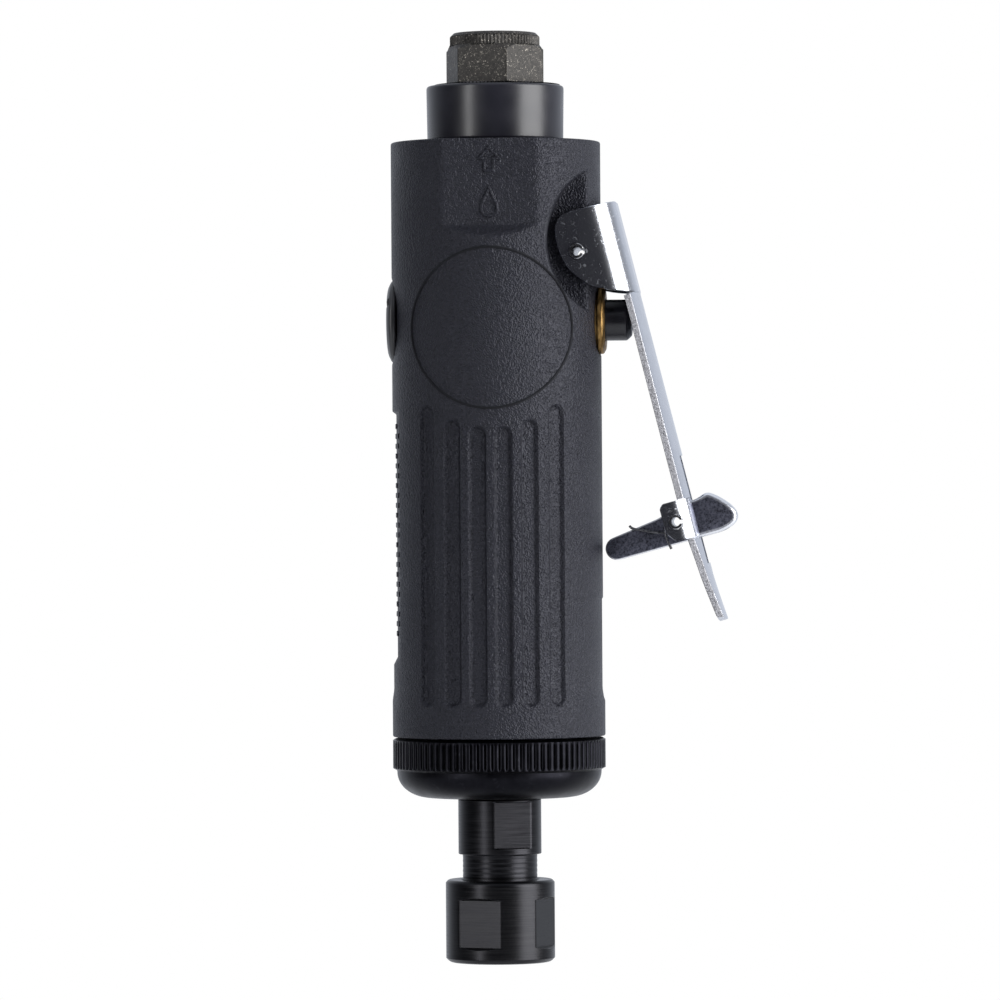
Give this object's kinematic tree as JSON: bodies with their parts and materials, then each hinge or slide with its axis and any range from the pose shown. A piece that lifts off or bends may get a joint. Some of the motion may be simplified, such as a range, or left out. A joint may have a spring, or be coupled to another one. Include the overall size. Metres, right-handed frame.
{
  "type": "air die grinder",
  "caption": "Straight pneumatic die grinder with rear exhaust, locking throttle lever, vane motor and quarter-inch collet.",
  "frame": {"origin": "middle of the air inlet's mouth, on the tool's axis", "axes": "+Z along the tool's axis out of the air inlet, towards the hose; +X towards the throttle lever; -Y towards the side with the oil panel and grip flutes"},
  "size_m": [0.0678, 0.041, 0.179],
  "materials": {
    "grip_housing": "black textured coat over die-cast aluminium",
    "worn_steel": "worn gunmetal",
    "bright_steel": "ground",
    "black_oxide": "black oxide, turned",
    "black_satin": "black anodised, satin",
    "chrome": "bright chrome plate",
    "brass": "turned brass",
    "black_rubber": "nitrile rubber",
    "black_plastic": "black acetal",
    "phenolic": "fabric-filled phenolic",
    "felt": "felt"
  },
  "bodies": {
    "body": {"housing": "grip_housing", "inlet_bushing": "worn_steel", "inlet_screen": "bright_steel", "inlet_seal": "black_rubber", "serrated_washer": "black_oxide", "throttle_bushing": "brass", "plunger_seal": "black_rubber", "valve_seat": "black_rubber", "valve_spring": "bright_steel", "front_bearing_outer_race": "bright_steel", "rear_bearing_outer_race": "bright_steel", "front_end_plate": "bright_steel", "rear_end_plate": "bright_steel", "cylinder": "bright_steel", "locating_pin": "bright_steel", "wave_spring": "bright_steel", "clamp_nut": "black_oxide", "dust_felt": "felt", "lever_pin": "bright_steel"},
    "deflector": {"exhaust_deflector": "black_satin", "exhaust_muffler": "felt"},
    "regulator": {"air_regulator": "black_satin", "regulator_seal": "black_rubber"},
    "valve": {"throttle_plunger": "black_plastic", "valve_disc": "brass"},
    "rotor": {"rotor": "bright_steel", "vane_1": "phenolic", "vane_2": "phenolic", "vane_3": "phenolic", "vane_4": "phenolic", "front_bearing_inner_race": "bright_steel", "rear_bearing_inner_race": "bright_steel", "front_spacer": "bright_steel", "spindle": "black_oxide"},
    "front_cage": {"front_ball_cage": "bright_steel"},
    "rear_cage": {"rear_ball_cage": "bright_steel"},
    "collet": {"collet": "bright_steel"},
    "nut": {"collet_nut": "black_oxide"},
    "lever": {"throttle_lever": "chrome", "lock_pin": "bright_steel", "lock_spring": "bright_steel"},
    "lock": {"lock_lever": "chrome"}
  },
  "joints": [
    {"name": "spindle_spin", "type": "hinge", "parent": "body", "child": "rotor", "pos_m": [0, 0, -0.1], "axis": [0, 0, 1], "continuous": true},
    {"name": "front_cage_roll", "type": "hinge", "parent": "body", "child": "front_cage", "pos_m": [0, 0, -0.1277], "axis": [0, 0, 1], "continuous": true},
    {"name": "rear_cage_roll", "type": "hinge", "parent": "body", "child": "rear_cage", "pos_m": [0, 0, -0.0737], "axis": [0, 0, 1], "continuous": true},
    {"name": "collet_slide", "type": "slide", "parent": "rotor", "child": "collet", "axis": [0, 0, -1], "range_m": [0, 0.00187]},
    {"name": "nut_turn", "type": "hinge", "parent": "collet", "child": "nut", "pos_m": [0, 0, -0.17], "axis": [0, 0, 1], "range_deg": [-540, 0]},
    {"name": "deflector_turn", "type": "hinge", "parent": "body", "child": "deflector", "pos_m": [0, 0, -0.015], "axis": [0, 0, 1], "continuous": true},
    {"name": "regulator_turn", "type": "hinge", "parent": "body", "child": "regulator", "pos_m": [-0.02, 0, -0.0555], "axis": [-1, 0, 0], "range_deg": [0, 180]},
    {"name": "throttle_pivot", "type": "hinge", "parent": "body", "child": "lever", "pos_m": [0.0161, 0, -0.0425], "axis": [0, 1, 0], "range_deg": [0, 9], "stiffness_Nm_per_rad": 0.8, "springref_deg": -11.46, "deforming": ["valve_spring"]},
    {"name": "lock_pivot", "type": "hinge", "parent": "lever", "child": "lock", "pos_m": [0.0346, 0, -0.0944], "axis": [0, -1, 0], "range_deg": [0, 75], "deforming": ["lock_spring"]},
    {"name": "valve_slide", "type": "slide", "parent": "body", "child": "valve", "axis": [-1, 0, 0], "range_m": [0, 0.0022]}
  ],
  "couplings": [
    {"joint": "front_cage_roll", "follows": "spindle_spin", "ratio": 0.4},
    {"joint": "rear_cage_roll", "follows": "spindle_spin", "ratio": 0.4},
    {"joint": "valve_slide", "follows": "throttle_pivot", "m_per_rad": 0.0136},
    {"joint": "lock_pivot", "follows": "throttle_pivot", "ratio": 8.3},
    {"joint": "nut_turn", "follows": "collet_slide", "rad_per_m": -5026.5}
  ]
}
